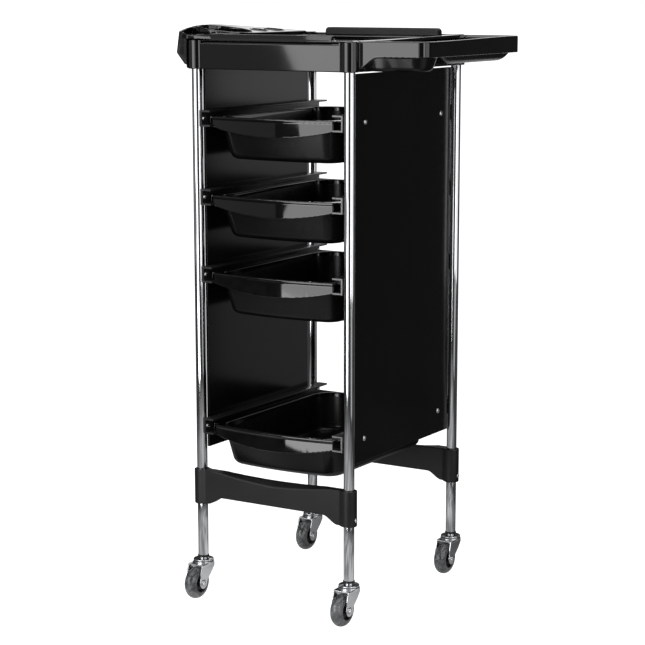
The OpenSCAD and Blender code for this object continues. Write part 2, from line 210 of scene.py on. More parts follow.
def basin_black():
    m, nt, b = mat("semi_gloss_black_abs")
    grain = noise(nt, 1300.0, 3.0, 0.65)
    wide = noise(nt, 16.0, 4.0, 0.5)
    col = ramp(nt, wide, [(0.3, (0.0095, 0.0095, 0.0102, 1)), (0.7, (0.0130, 0.0130, 0.0138, 1))])
    nt.links.new(col, b.inputs["Base Color"])
    nt.links.new(span(nt, math2(nt, "ADD", grain, wide), 0.20, 0.30, 0.6, 1.4), b.inputs["Roughness"])
    b.inputs["IOR"].default_value = 1.42
    bump(nt, b, grain, 0.18, 0.0002)
    return m


def satin_black():
    m, nt, b = mat("satin_black_pp")
    grain = noise(nt, 1500.0, 3.0, 0.7)
    wide = noise(nt, 20.0, 4.0, 0.5)
    col = ramp(nt, wide, [(0.3, (0.0080, 0.0080, 0.0087, 1)), (0.7, (0.0120, 0.0120, 0.0128, 1))])
    nt.links.new(col, b.inputs["Base Color"])
    nt.links.new(span(nt, math2(nt, "ADD", grain, wide), 0.36, 0.50, 0.6, 1.4), b.inputs["Roughness"])
    b.inputs["IOR"].default_value = 1.49
    bump(nt, b, grain, 0.25, 0.00025)
    return m


def panel_black():
    m, nt, b = mat("panel_black_lacquer")
    grain = noise(nt, 700.0, 5.0, 0.65)
    wide = noise(nt, 9.0, 3.0, 0.5, (1.0, 1.0, 0.35))
    col = ramp(nt, wide, [(0.3, (0.0055, 0.0055, 0.0062, 1)), (0.7, (0.0085, 0.0085, 0.0093, 1))])
    nt.links.new(col, b.inputs["Base Color"])
    nt.links.new(span(nt, math2(nt, "ADD", grain, wide), 0.15, 0.22, 0.6, 1.4), b.inputs["Roughness"])
    b.inputs["IOR"].default_value = 1.5
    bump(nt, b, grain, 0.07, 0.0002)
    return m


def anodised():
    m, nt, b = mat("rail_black_anodised")
    brush = noise(nt, 220.0, 4.0, 0.6, (14.0, 0.25, 14.0))
    col = ramp(nt, brush, [(0.3, (0.014, 0.014, 0.016, 1)), (0.7, (0.026, 0.026, 0.028, 1))])
    nt.links.new(col, b.inputs["Base Color"])
    nt.links.new(span(nt, brush, 0.26, 0.42, 0.3, 0.7), b.inputs["Roughness"])
    b.inputs["Metallic"].default_value = 0.0
    b.inputs["IOR"].default_value = 1.6
    bump(nt, b, brush, 0.15, 0.0002)
    return m


def cut_metal():
    m, nt, b = mat("rail_cut_end")
    saw = noise(nt, 600.0, 4.0, 0.6, (1.0, 1.0, 9.0))
    col = ramp(nt, saw, [(0.3, g(0.17)), (0.7, g(0.28))])
    nt.links.new(col, b.inputs["Base Color"])
    nt.links.new(span(nt, saw, 0.35, 0.55, 0.3, 0.7), b.inputs["Roughness"])
    b.inputs["Metallic"].default_value = 0.7
    bump(nt, b, saw, 0.3, 0.0002)
    return m


def chrome(name, rough0, rough1, tint, bumpy, scale=60.0):
    m, nt, b = mat(name)
    n1 = noise(nt, scale, 5.0, 0.55)
    n2 = noise(nt, 420.0, 6.0, 0.7)
    c0 = tuple(t * 0.93 for t in tint) + (1,)
    c1 = tuple(min(1.0, t * 1.04) for t in tint) + (1,)
    nt.links.new(ramp(nt, n1, [(0.3, c0), (0.7, c1)]), b.inputs["Base Color"])
    r = math2(nt, "ADD", span(nt, n1, rough0, rough1, 0.3, 0.7), span(nt, n2, 0.0, 0.07, 0.6, 0.85))
    nt.links.new(r, b.inputs["Roughness"])
    b.inputs["Metallic"].default_value = 1.0
    bump(nt, b, n1, bumpy, 0.0006)
    return m


def nylon():
    m, nt, b = mat("black_nylon")
    grain = noise(nt, 1100.0, 3.0, 0.6)
    wide = noise(nt, 40.0, 4.0, 0.5)
    nt.links.new(ramp(nt, wide, [(0.3, g(0.010)), (0.7, g(0.017))]), b.inputs["Base Color"])
    nt.links.new(span(nt, grain, 0.38, 0.55, 0.3, 0.7), b.inputs["Roughness"])
    b.inputs["IOR"].default_value = 1.53
    bump(nt, b, grain, 0.3, 0.0002)
    return m


def polyurethane():
    m, nt, b = mat("clear_grey_pu")
    wide = noise(nt, 70.0, 3.0, 0.5, None, 1.2)
    scuff = noise(nt, 260.0, 5.0, 0.6)
    col = ramp(nt, wide, [(0.34, (0.085, 0.088, 0.092, 1)), (0.47, (0.19, 0.195, 0.20, 1)), (0.66, (0.36, 0.37, 0.38, 1))])
    nt.links.new(col, b.inputs["Base Color"])
    nt.links.new(math2(nt, "ADD", span(nt, wide, 0.16, 0.26, 0.3, 0.7), span(nt, scuff, 0.0, 0.10, 0.5, 0.8)), b.inputs["Roughness"])
    b.inputs["IOR"].default_value = 1.48
    b.inputs["Coat Weight"].default_value = 0.5
    b.inputs["Coat Roughness"].default_value = 0.08
    bump(nt, b, wide, 0.05, 0.0004)
    return m


M_GLOSS = gloss_black()
M_BASIN = basin_black()
M_SATIN = satin_black()
M_PANEL = panel_black()
M_RAIL = anodised()
M_CUT = cut_metal()
M_TUBE = chrome("chrome_tube", 0.05, 0.11, (0.80, 0.81, 0.83), 0.04, 25.0)
M_PRESS = chrome("chrome_pressed", 0.10, 0.20, (0.74, 0.75, 0.77), 0.22, 120.0)
M_SCREW = chrome("screw_steel", 0.16, 0.26, (0.80, 0.80, 0.81), 0.15, 300.0)
M_NYLON = nylon()
M_PU = polyurethane()


# ------------------------------------------------------------------ mesh tools
def add_object(name, verts, faces, material, body, mm=True, normals=None, smooth=True, angle=None):
    """A mesh in millimetres of the cart's own frame, placed in the row frame."""
    me = bpy.data.meshes.new(name)
    v = np.asarray(verts, float)
    if mm:
        v = (v + np.array([OX, OY, 0.0])) / 1000.0
    me.from_pydata(v.tolist(), [], [tuple(int(i) for i in f) for f in faces])
    me.validate()
    me.update()
    ob = bpy.data.objects.new(name, me)
    bpy.context.scene.collection.objects.link(ob)
    for mt in (material if isinstance(material, (list, tuple)) else [material]):
        me.materials.append(mt)
    if smooth:
        me.shade_smooth()
        if angle is not None:
            me.set_sharp_from_angle(angle=math.radians(angle))
    if normals is not None and len(me.vertices) == len(normals):
        me.normals_split_custom_set_from_vertices([tuple(n) for n in normals])
    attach(ob, body)
    return ob


def dress(node, material, bevel=None, segments=2, angle=30):
    """A CAD node that stays in view: material, and rounded edges by a modifier."""
    ob = NODES[node]
    ob.data.materials.clear()
    ob.data.materials.append(material)
    if bevel:
        w = ob.modifiers.new("weld", "WELD")
        w.merge_threshold = 0.00001
        b = ob.modifiers.new("edge", "BEVEL")
        b.width, b.segments = bevel / 1000.0, segments
        b.limit_method, b.angle_limit = "ANGLE", math.radians(angle)
        b.use_clamp_overlap = True
        b.harden_normals = True
    return ob


# --- signed distance modelling: moulded shapes with true fillets -------------
def U(a, b, r=0.0):
    if r <= 0:
        return np.minimum(a, b)
    u, v = np.maximum(r - a, 0), np.maximum(r - b, 0)
    return np.maximum(r, np.minimum(a, b)) - np.sqrt(u * u + v * v)


def I(a, b, r=0.0):
    if r <= 0:
        return np.maximum(a, b)
    u, v = np.maximum(r + a, 0), np.maximum(r + b, 0)
    return np.minimum(-r, np.maximum(a, b)) + np.sqrt(u * u + v * v)


def S(a, b, r=0.0):
    return I(a, -b, r)


def rr2(x, y, x0, y0, x1, y1, r):
    qx = np.abs(x - (x0 + x1) / 2) - (x1 - x0) / 2 + r
    qy = np.abs(y - (y0 + y1) / 2) - (y1 - y0) / 2 + r
    return np.hypot(np.maximum(qx, 0), np.maximum(qy, 0)) + np.minimum(np.maximum(qx, qy), 0) - r


def ci2(x, y, cx, cy, r):
    return np.hypot(x - cx, y - cy) - r


def capsule2(x, y, ax, ay, r1, bx, by, r2):
    """Outline around two circles and their outer tangents."""
    px, py, dx, dy = x - ax, y - ay, bx - ax, by - ay
    h = dx * dx + dy * dy
    qx = np.abs(px * dy - py * dx) / h
    qy = (px * dx + py * dy) / h
    b = r1 - r2
    cx, cy = math.sqrt(h - b * b), b
    k = cx * qy - cy * qx
    m = cx * qx + cy * qy
    n = qx * qx + qy * qy
    return np.where(k < 0, np.sqrt(h * n) - r1,
                    np.where(k > cx, np.sqrt(np.maximum(h * (n + 1 - 2 * qy), 0)) - r2, m - r1))


def poly2(x, y, pts):
    """Exact distance to a closed polygon."""
    pts = np.asarray(pts, float)
    d = np.full(x.shape, 1e12)
    s = np.ones(x.shape)
    n = len(pts)
    for i in range(n):
        a, b = pts[i], pts[(i - 1) % n]
        ex, ey = b - a
        wx, wy = x - a[0], y - a[1]
        t = np.clip((wx * ex + wy * ey) / (ex * ex + ey * ey), 0, 1)
        bx, by = wx - ex * t, wy - ey * t
        d = np.minimum(d, bx * bx + by * by)
        c1, c2, c3 = y >= a[1], y < b[1], ex * wy > ey * wx
        flip = (c1 & c2 & c3) | (~c1 & ~c2 & ~c3)
        s = np.where(flip, -s, s)
    return s * np.sqrt(d)


def ext(d2, z, z0, z1, rb=0.0, rt=None):
    """Prism of a plan distance between z0 and z1 with rounded rims."""
    rt = rb if rt is None else rt
    return I(I(d2, z - z1, rt), z0 - z, rb)


def box3(x, y, z, c, h, r=0.0):
    qx, qy, qz = (np.abs(v - cc) - hh + r for v, cc, hh in zip((x, y, z), c, h))
    out = np.sqrt(np.maximum(qx, 0) ** 2 + np.maximum(qy, 0) ** 2 + np.maximum(qz, 0) ** 2)
    return out + np.minimum(np.maximum(qx, np.maximum(qy, qz)), 0) - r


def smooth(t):
    t = np.clip(t, 0, 1)
    return t * t * (3 - 2 * t)


def surface(sdf, low, high, h):
    """Dual mesh of the zero surface of sdf on a grid of step h, in numpy."""
    low = np.asarray(low, float)
    n = np.ceil((np.asarray(high, float) - low) / h).astype(int) + 1
    ax = [low[i] + h * np.arange(n[i]) for i in range(3)]
    F = np.empty(n, np.float32)
    step = max(1, int(2_000_000 / (n[1] * n[2])))
    for i0 in range(0, n[0], step):
        X, Y, Z = np.meshgrid(ax[0][i0:i0 + step], ax[1], ax[2], indexing="ij")
        F[i0:i0 + step] = sdf(X, Y, Z)
    neg = F < 0
    cells = np.zeros(n - 1, bool)
    for a in (0, 1):
        for b in (0, 1):
            for c in (0, 1):
                s = neg[a:n[0] - 1 + a, b:n[1] - 1 + b, c:n[2] - 1 + c]
                if a == b == c == 0:
                    anyn, alln = s.copy(), s.copy()
                else:
                    anyn |= s
                    alln &= s
    cells = anyn & ~alln
    idx = np.full(n - 1, -1, np.int64)
    cc = np.argwhere(cells)
    idx[cells] = np.arange(len(cc))
    acc = np.zeros((len(cc), 3))
    cnt = np.zeros(len(cc))
    corner = [(a, b, c) for a in (0, 1) for b in (0, 1) for c in (0, 1)]
    for p in corner:
        for k in range(3):
            if p[k]:
                continue
            q = list(p)
            q[k] = 1
            fp = F[cc[:, 0] + p[0], cc[:, 1] + p[1], cc[:, 2] + p[2]].astype(float)
            fq = F[cc[:, 0] + q[0], cc[:, 1] + q[1], cc[:, 2] + q[2]].astype(float)
            m = (fp < 0) != (fq < 0)
            t = fp[m] / (fp[m] - fq[m])
            pos = np.tile(np.array(p, float), (m.sum(), 1))
            pos[:, k] += t
            acc[m] += pos
            cnt[m] += 1
    V = low + h * (cc + acc / cnt[:, None])
    quads = []
    for k in range(3):
        i, j = (k + 1) % 3, (k + 2) % 3
        sl0 = [slice(None)] * 3
        sl1 = [slice(None)] * 3
        sl0[k], sl1[k] = slice(0, -1), slice(1, None)
        a, b = neg[tuple(sl0)], neg[tuple(sl1)]
        e = np.argwhere(a != b)
        e = e[(e[:, i] > 0) & (e[:, j] > 0) & (e[:, i] < n[i] - 1) & (e[:, j] < n[j] - 1)]
        def at(di, dj):
            q = e.copy()
            q[:, i] += di
            q[:, j] += dj
            return idx[q[:, 0], q[:, 1], q[:, 2]]
        v = np.stack([at(-1, -1), at(0, -1), at(0, 0), at(-1, 0)], 1)
        inside_first = a[tuple(e.T)]
        v[~inside_first] = v[~inside_first][:, ::-1]
        quads.append(v)
    return V, np.concatenate(quads)


def gradient(sdf, V, e=0.02):
    G = np.empty_like(V)
    for k in range(3):
        d = np.zeros(3)
        d[k] = e
        A, B = V + d, V - d
        G[:, k] = (sdf(A[:, 0], A[:, 1], A[:, 2]) - sdf(B[:, 0], B[:, 1], B[:, 2])) / (2 * e)
    return G


def settle(sdf, V, rounds=3, cap=1.0):
    for _ in range(rounds):
        G = gradient(sdf, V)
        f = sdf(V[:, 0], V[:, 1], V[:, 2])
        g2 = np.maximum((G * G).sum(1), 0.05)
        V = V - np.clip(f / g2, -cap, cap)[:, None] * G
    return V


def moulded(name, sdf, low, high, h, material, body, keep=0.3, place=None, copies=None):
    """Meshes sdf, thins the flat areas, and takes shading normals from the field."""
    V, Q = surface(sdf, low, high, h)
    V = settle(sdf, V, 3, h * 0.5)
    me = bpy.data.meshes.new(name + "_tmp")
    me.from_pydata(V.tolist(), [], Q.tolist())
    ob = bpy.data.objects.new(name + "_tmp", me)
    bpy.context.scene.collection.objects.link(ob)
    d = ob.modifiers.new("thin", "DECIMATE")
    d.ratio = keep
    dg = bpy.context.evaluated_depsgraph_get()
    ev = ob.evaluated_get(dg)
    thin = bpy.data.meshes.new_from_object(ev)
    bpy.data.objects.remove(ob)
    bpy.data.meshes.remove(me)
    co = np.empty(len(thin.vertices) * 3)
    thin.vertices.foreach_get("co", co)
    co = settle(sdf, co.reshape(-1, 3), 2, h * 0.3)
    N = gradient(sdf, co, 0.05)
    N /= np.maximum(np.linalg.norm(N, axis=1), 1e-9)[:, None]
    faces = [tuple(p.vertices) for p in thin.polygons]
    bpy.data.meshes.remove(thin)
    made = []
    for nm, bd, fn in (copies or [(name, body, place)]):
        v, n_ = (co, N) if fn is None else fn(co, N)
        made.append(add_object(nm, v, faces, material, bd, normals=n_))
    return made[0] if copies is None else made


def lathe(profile, n=96, closed=False):
    """Verts and faces of a profile [(r, z), ...] turned about Z."""
    prof = np.asarray(profile, float)
    t = np.linspace(0, 2 * np.pi, n, endpoint=False)
    V = np.stack([np.outer(prof[:, 0], np.cos(t)), np.outer(prof[:, 0], np.sin(t)),
                  np.repeat(prof[:, 1][:, None], n, 1)], -1).reshape(-1, 3)
    F = []
    m = len(prof)
    for i in range(m if closed else m - 1):
        a, b = i * n, ((i + 1) % m) * n
        for j in range(n):
            k = (j + 1) % n
            F.append((a + j, a + k, b + k, b + j))
    if not closed:
        for i, rev in ((0, True), (m - 1, False)):
            ring = [i * n + j for j in range(n)]
            F.append(tuple(ring[::-1] if rev else ring))
    return V, F


def rounded(profile, radii, seg=5):
    """Rounds the corners of an open profile; radii matches the inner points."""
    P = [np.array(p, float) for p in profile]
    out = [P[0]]
    for i in range(1, len(P) - 1):
        r = radii[i - 1] if i - 1 < len(radii) else 0
        a, b, c = P[i - 1], P[i], P[i + 1]
        u, v = a - b, c - b
        lu, lv = np.linalg.norm(u), np.linalg.norm(v)
        if r <= 0 or lu < 1e-6 or lv < 1e-6:
            out.append(b)
            continue
        u, v = u / lu, v / lv
        ang = math.acos(max(-1, min(1, float(u @ v))))
        t = min(r / math.tan(ang / 2), lu * 0.49, lv * 0.49)
        rr = t * math.tan(ang / 2)
        bis = (u + v) / max(np.linalg.norm(u + v), 1e-9)
        cen = b + bis * rr / math.sin(ang / 2)
        s, e = b + u * t, b + v * t
        a0 = math.atan2(s[1] - cen[1], s[0] - cen[0])
        a1 = math.atan2(e[1] - cen[1], e[0] - cen[0])
        while a1 - a0 > math.pi:
            a1 -= 2 * math.pi
        while a1 - a0 < -math.pi:
            a1 += 2 * math.pi
        for k in range(seg + 1):
            q = a0 + (a1 - a0) * k / seg
            out.append(cen + rr * np.array([math.cos(q), math.sin(q)]))
    out.append(P[-1])
    return out


# ------------------------------------------------------------------ top deck
WX = PX + 110                      # right edge of the wing
CX1, CX2, CY, CR = PX + 36, PX + 83, -108.0, 26.0


def wing_low(x, y):
    """Lower edge of the band around the wing: it sweeps down where it meets the front column."""
    return DT - 22 - 15.0 * smooth((PX + 37 - x) / 27) * smooth((-60 - y) / 40)


def deck_sdf(x, y, z):
    cols = np.minimum(np.minimum(ci2(x, y, -PX, -PY, 13), ci2(x, y, PX, -PY, 13)),
                      np.minimum(ci2(x, y, -PX, PY, 13), ci2(x, y, PX, PY, 13)))
    plan = U(rr2(x, y, -PX - 10, -PY - 9, PX + 10, PY + 9, 7), cols, 1.2)
    body = ext(plan, z, DECK_B, DT, 0.9, 2.6)
    # hollow below the work recess
    under = ext(np.maximum(rr2(x, y, -PX - 7, -PY - 6, PX + 7, PY + 6, 4), -(cols - 0.0)), z, DECK_B - 9, DT - 14, 0, 2)
    body = S(body, under, 0.6)
    recess = ext(rr2(x, y, -PX + 8, -PY + 12, PX - 8, PY - 12, 12), z, DT - 11, DT + 40, 3.0)
    # leaning front lip
    lip = poly2(y, z, [(-PY - 9.0, DT - 5), (-PY - 8.6, DT - 1.5), (-PY + 0.6, DT + 7.2), (-PY + 3.2, DT + 7.4),
                       (-PY + 5.6, DT + 6), (-PY + 6.6, DT - 1), (-PY + 6.6, DT - 5)])
    slant = 0.36 * (z - DT)
    lip = I(lip, np.maximum(-PX + 12 - x, x - (PX - 27.5 - slant)), 1.2)
    body = U(body, lip, 1.4)
    # shadow groove under the lip
    groove = poly2(y, z, [(-PY - 14, DT - 1.6), (-PY - 5.2, DT - 1.6), (-PY - 9, DT - 5.8), (-PY - 14, DT - 5.8)])
    body = S(body, I(groove, np.abs(x) - (PX - 13), 0), 0.3)
    # low rim along the rear edge
    rear = np.minimum(rr2(x, y, -PX - 9, PY + 3.5, PX + 9, PY + 9, 2), rr2(x, y, -PX - 9.4, PY - 9, -PX + 3, PY + 9, 2))
    rear = I(rear, z - (DT + 3.4 + 1.4 * smooth((-PX + 6 - x) / 4)), 1.0)
    body = U(body, I(rear, DT - 4 - z, 0), 0.6)
    body = S(body, recess, 1.8)
    # wing: rim band, higher to the rear, deeper towards the deck; the front face leans back outwards
    top = DT + 3.0 * smooth((y + 110) / 260)
    low = wing_low(x, y)
    lean = 15.0 * np.clip((WX - x) / 105, 0, 1.05)
    w2 = I(I(rr2(x, y, PX - 4, -300, WX, 300, 2), -135 - lean - y, 13), y - 150, 4)
    band = I(I(w2, z - top, 2.2), low - z, 0.8)
    dish = I(I(I(rr2(x, y, PX + 14, -300, WX - 4, 300, 2), -131 - lean - y, 10), y - 146, 6), top - 2.2 - z, 1.2)
    band = S(band, dish, 1.0)
    dc = np.clip(DT - 21 - z, 0, 24)
    lobes = capsule2(x, y, CX1, CY, CR, CX2, CY, CR) + 2.2 * np.exp(-((x - (CX1 + CX2) / 2) / 10.0) ** 2)
    yl = np.where(y + lean < CY, y + lean, np.maximum(y, CY))      # the front half follows the leaning face
    dimple = 1.4 * np.exp(-((x - (CX1 + CX2) / 2) / 12.0) ** 2)
    cup2 = U(capsule2(x, yl, PX + 4, CY, 17.0, CX1, CY, CR), capsule2(x, yl, CX1, CY, CR, CX2, CY, CR) + dimple, 3.0) + 0.36 * dc
    cup = I(I(cup2, DECK_B + 1 - z, 6.0), z - (DT - 4), 1)
    dz = np.clip(DT - 20 - z, 0, 30)
    basin2 = rr2(x, y, PX + 12 + 0.5 * dz, -130, WX - 8 - 0.7 * dz, 149 - 0.8 * dz, 13)
    ramp_ = ((DT - 20 - z) * 3.0 - 80 - y) / 3.16            # the floor rises towards the cups
    basin = I(I(I(basin2 * 0.85, DECK_B + 9 - z, 7.0), ramp_, 4.0), z - (DT - 3), 1)
    lower = U(cup, basin, 3)
    hollow = I(I(rr2(x, y, PX + 10, -132, WX - 3, 147, 10), np.maximum(z - (DT - 4.4), DT - 60 - z), 1),
               -(np.minimum(cup2, np.maximum(basin2, -84 - y))), 1)
    band = S(band, hollow, 0.5)
    wing = U(band, lower, 1.5)
    d = U(body, wing, 2.0)
    d = S(d, I(lobes + 2.5 + 0.36 * dc, DECK_B + 3.5 - z, 5.0), 1.4)
    b_in = rr2(x, y, PX + 15 + 0.5 * dz, -76, WX - 11 - 0.7 * dz, 146 - 0.8 * dz, 11)
    d = S(d, I(I(b_in * 0.85, DECK_B + 11.5 - z, 6.0), ramp_ + 2.5, 4.0), 1.6)
    # sockets of the posts
    bores = np.minimum(np.minimum(ci2(x, y, -PX, -PY, 8.06), ci2(x, y, PX, -PY, 8.06)),
                       np.minimum(ci2(x, y, -PX, PY, 8.06), ci2(x, y, PX, PY, 8.06)))
    return S(d, np.maximum(bores, z - (DECK_B + 36)), 0.4)


deck = moulded("deck_moulding", deck_sdf, (-PX - 16, -PY - 16, DECK_B - 3), (WX + 3, PY + 16, DT + 11), 1.25,
               M_GLOSS, "chassis", keep=0.24)
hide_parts("top_deck")

# ------------------------------------------------------------------ tool holder
EX, EY, ER, RR = -PX - 52, -10.0, 68.0, 41.0
T1, T2 = (-PX - 32, 56.0), (-PX - 31, 97.0)


def holder_sdf(x, y, z):
    plan = U(capsule2(x, y, EX, EY, ER, -PX, -PY, 16.0), capsule2(x, y, EX, EY, ER, -PX - 8, PY - 12, 9.0), 6)
    # wall: leans in towards the rim, and steeply in towards its lower edge
    up, dn = 6.6 - 0.18 * (z - DECK_B - 20), 6.6 - 0.97 * (DECK_B + 18 - z)
    flare = -np.maximum(-up, -dn) - np.maximum(2.6 - np.abs(up - dn), 0) ** 2 / 10.4
    outer = plan - flare * smooth((-PX - 2 - x) / 58)
    # the top is one plane that rises to the left; the rim sinks towards the front corner
    rise = 0.125 * (-PX - 10 - x)
    plane = DT + 6.0 + rise
    rim = DT + 6.0 + rise * (0.15 + 0.85 * smooth((y + 60) / 120))
    skirt = I(I(np.maximum(outer, -(outer + 4.2)), z - rim, 2.0), DECK_B + 1 - z, 0.8)
    floor = I(outer + 0.6, np.abs(z - (DT - 7.5)) - 1.5, 0)
    plate = I(I(I(outer + 0.6, z - rim, 1.0), -2 - y, 1.5), rim - 3 - z, 0)
    front = I(I(I(outer + 0.6, z - rim, 1.0), np.abs(y + 0.6) - 1.4, 0), DT - 9 - z, 0)
    wall = I(I(I(outer + 0.2, np.abs(x + PX + 11.8) - 1.8, 0), z - (DT + 6.0), 1.5), DECK_B + 14 - z, 0)
    d = U(skirt, floor, 1.5)
    d = U(d, U(plate, front, 1.0), 1.2)
    d = U(d, wall, 1.0)
    for t, r in ((T1, 12.0), (T2, 14.0)):
        collar = I(I(ci2(x, y, t[0], t[1], r + 2.5), z - (rim + 0.9), 1.0), DT - 10 - z, 0)
        d = U(d, collar, 1.4)
    ring = I(I(np.abs(ci2(x, y, EX, EY, RR + 1.9)) - 1.9, z - (plane + 0.6), 1.8), DECK_B + 14 - z, 1.0)
    d = U(d, ring, 1.2)
    # room for the deck and the corner columns
    keepout = np.minimum(-(x + PX + 10.05), np.minimum(ci2(x, y, -PX, -PY, 13.1), ci2(x, y, -PX, PY, 13.1)))
    d = np.maximum(d, -np.maximum(keepout, z - (DT + 0.3)))
    d = np.maximum(d, x + PX + 8)
    # blade of the rim that runs round the front column onto the lip
    bl = poly2(x, y, [(-PX - 20, -PY - 9.0), (-PX - 9, -PY - 14.2), (-PX + 5, -PY - 14.0), (-PX + 18, -PY - 12.4),
                      (-PX + 32, -PY - 8.8), (-PX + 20, -PY - 5.2), (-PX + 4, -PY - 2.5), (-PX - 8, -PY + 2), (-PX - 14, -PY + 10), (-PX - 24, -PY + 12)])
    tip = DT + 6.6 - 2.2 * smooth((x + PX + 6) / 40)
    blade = I(I(bl, z - tip, 1.6), DT + 0.4 - z, 0.6)
    d = U(d, blade, 1.5)
    for c, r in (((EX, EY), RR), (T1, 12.0), (T2, 14.0)):
        d = S(d, ci2(x, y, c[0], c[1], r), 0.9)
    return d


holder = moulded("tool_holder_moulding", holder_sdf, (EX - ER - 10, -PY - 20, DECK_B - 2), (-PX + 38, PY + 8, DT + 24),
                 1.1, M_GLOSS, "chassis", keep=0.26)
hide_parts("tool_holder")


def bar_sdf(x, y, z):
    d2 = rr2(x, z, -102, DT - 20, 102, DT + 12, 6)
    d = I(d2, np.abs(y - (PY + 1)) - 7, 2.2)
    return I(d, DT + 0.05 - z, 0.3)


bar = moulded("rear_bar_moulding", bar_sdf, (-105, PY - 9, DT - 2), (105, PY + 11, DT + 14), 1.0, M_SATIN,
              "chassis", keep=0.2)
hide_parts("rear_rail_bar")

# ------------------------------------------------------------------ posts and legs
JZ = BB + (BT - BB) / 2 + 1
LZ = None
llo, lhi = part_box("leg_front_right")
LZ = llo.z * 1000
for k, (sx, sy) in CORNER.items():
    for kind, z0, z1 in (("post", JZ, DECK_B + 35), ("leg", LZ, JZ - 2)):
        prof = rounded([(6.8, z0 + 4), (6.8, z0), (8.0, z0), (8.0, z1), (6.8, z1), (6.8, z0 + 4)], [0.2, 0.25, 0.25, 0.2], 3)[:-1]
        V, F = lathe(prof, 96, closed=True)
        V = V + np.array([sx * PX, sy * PY, 0])
        ob = add_object("%s_tube_%s" % (kind, k), V, F, M_TUBE, "chassis", angle=40)
        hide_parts("%s_%s" % (kind, LONG[k]))


# ------------------------------------------------------------------ brackets
def bracket_sdf(x, y, z):
    ax = np.abs(x)
    col = ext(ci2(ax, y, PX, -PY, 12.0), z, BB, BT, 1.2, 1.4)
    crease = BB + 44 + 8.6 * np.clip(ax / 92, 0, 1.2) ** 1.55
    back = BT - 0.4 - 3.0 * (1 - np.clip(ax / 90, 0, 1) ** 2)
    t = np.clip((y + PY + 9) / 9.5, 0, 1)
    top = crease + (back - crease) * t
    low = BB + 13 - 12.0 * smooth((ax - 90) / 26)
    bar_ = I(np.abs(y + PY + 1) - 8, (z - top) * 0.82, 1.6)
    bar_ = I(bar_, (low - z) * 0.88, 1.8)
    bar_ = np.maximum(bar_, ax - PX)
    d = U(col, bar_, 3.0)
    d = np.maximum(np.maximum(d, z - BT), BB - z)
    return S(d, ci2(ax, y, PX, -PY, 8.05), 0.4)


_V = moulded("bracket_moulding_front", bracket_sdf, (-PX - 14, -PY - 14, BB - 2), (PX + 14, -PY + 14, BT + 2), 1.1, M_SATIN,
             "chassis", keep=0.22)
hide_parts("bracket_front")


def flipped(ob, name, M, body, material):
    """Copy of a finished piece, mirrored or moved in the cart's frame by the 4x4 M (mm)."""
    me = ob.data
    co = np.empty(len(me.vertices) * 3)
    me.vertices.foreach_get("co", co)
    co = co.reshape(-1, 3) * 1000 - np.array([OX, OY, 0])
    M = np.asarray(M, float)
    co = co @ M[:3, :3].T + M[:3, 3]
    n = np.empty(len(me.loops) * 3)
    me.corner_normals.foreach_get("vector", n)
    n = n.reshape(-1, 3)
    vi = np.empty(len(me.loops), np.int64)
    me.loops.foreach_get("vertex_index", vi)
    N = np.zeros((len(me.vertices), 3))
    N[vi] = n
    N = N @ M[:3, :3].T
    faces = [tuple(p.vertices) for p in me.polygons]
    if np.linalg.det(M[:3, :3]) < 0:
        faces = [f[::-1] for f in faces]
    return add_object(name, co, faces, material, body, normals=N)


_B = flipped(_V, "bracket_moulding_back", [[1, 0, 0, 0], [0, -1, 0, 0], [0, 0, 1, 0], [0, 0, 0, 1]], "chassis", M_SATIN)
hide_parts("bracket_back")

# ------------------------------------------------------------------ side panels
def slab_box(name, low, high, edge, material, body, node, seg=3):
    bm = bmesh.new()
    bmesh.ops.create_cube(bm, size=1.0)
    low, high = np.asarray(low, float), np.asarray(high, float)
    for v in bm.verts:
        v.co = Vector(((low + high) / 2 + (high - low) * np.array(v.co)).tolist())
    bmesh.ops.bevel(bm, geom=bm.edges[:], offset=edge, segments=seg, profile=0.5, affect="EDGES")
    V = [tuple(v.co) for v in bm.verts]
    F = [tuple(v.index for v in f.verts) for f in bm.faces]
    bm.free()
    ob = add_object(name, V, F, material, body)
    ob.data.polygons.foreach_set("use_smooth", [p.area < 0.002 for p in ob.data.polygons])   # large faces stay flat
    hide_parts(node)
    return ob


for s in ("left", "right"):
    a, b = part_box("side_panel_" + s)
    top_z = b.z * 1000 if s == "right" else DECK_B - 0.1
    slab_box("side_sheet_" + s, (a.x * 1000 - OX, a.y * 1000 - OY, a.z * 1000), (b.x * 1000 - OX, min(b.y * 1000 - OY, 150 if s == "right" else 131), top_z),
             0.7, M_PANEL, "chassis", "side_panel_" + s)

# ------------------------------------------------------------------ channel rails
RX0, RX1, RH, RT = PX - 25.5, PX - 8, 24.0, 2.8


